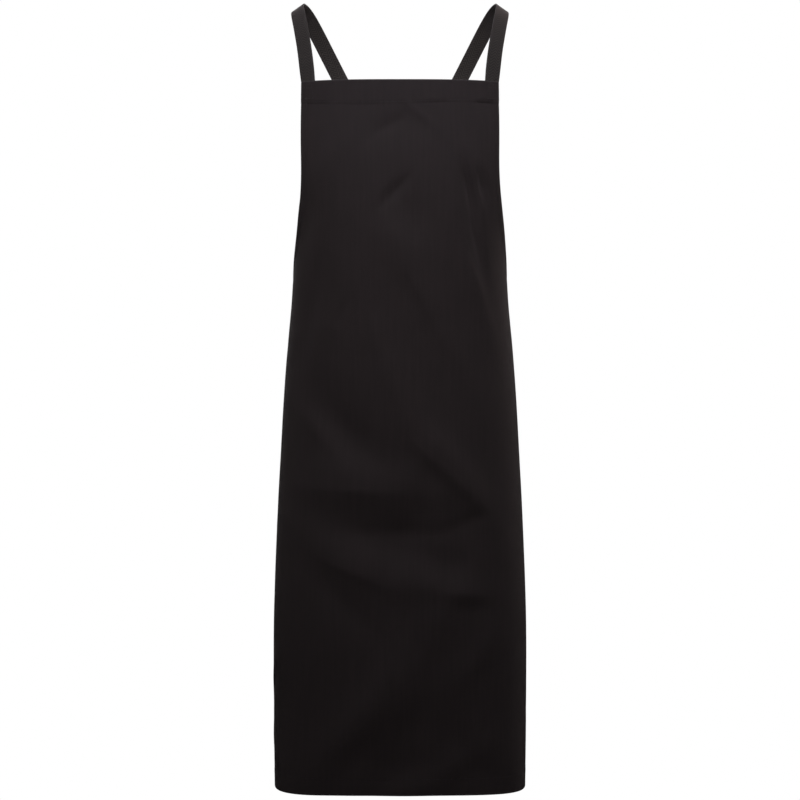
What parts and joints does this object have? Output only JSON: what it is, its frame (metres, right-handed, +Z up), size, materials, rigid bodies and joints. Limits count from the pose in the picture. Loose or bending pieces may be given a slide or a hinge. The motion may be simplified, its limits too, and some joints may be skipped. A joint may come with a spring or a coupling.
{
  "type": "cross back apron",
  "caption": "Worn cross back apron: a square bib with a stitched top band, a skirt that wraps round to the back, and narrow straps that cross behind. Held up at the shoulders.",
  "frame": {"origin": "between the shoulders, level with the top of the straps, where the wearer's shoulders carry the apron", "axes": "+Z up, -Y the way the wearer faces, +X to the wearer's left"},
  "size_m": [0.3644, 0.2795, 1.1231],
  "materials": {
    "cloth": "matt black twill",
    "strap": "matt black folded twill tape"
  },
  "bodies": {
    "root": {"body_panel": "cloth", "bib_hem": "cloth", "bottom_hem": "cloth", "armhole_hem_left": "cloth", "armhole_hem_right": "cloth", "back_hem_left": "cloth", "back_hem_right": "cloth", "strap_left": "strap", "strap_right": "strap"}
  },
  "joints": []
}
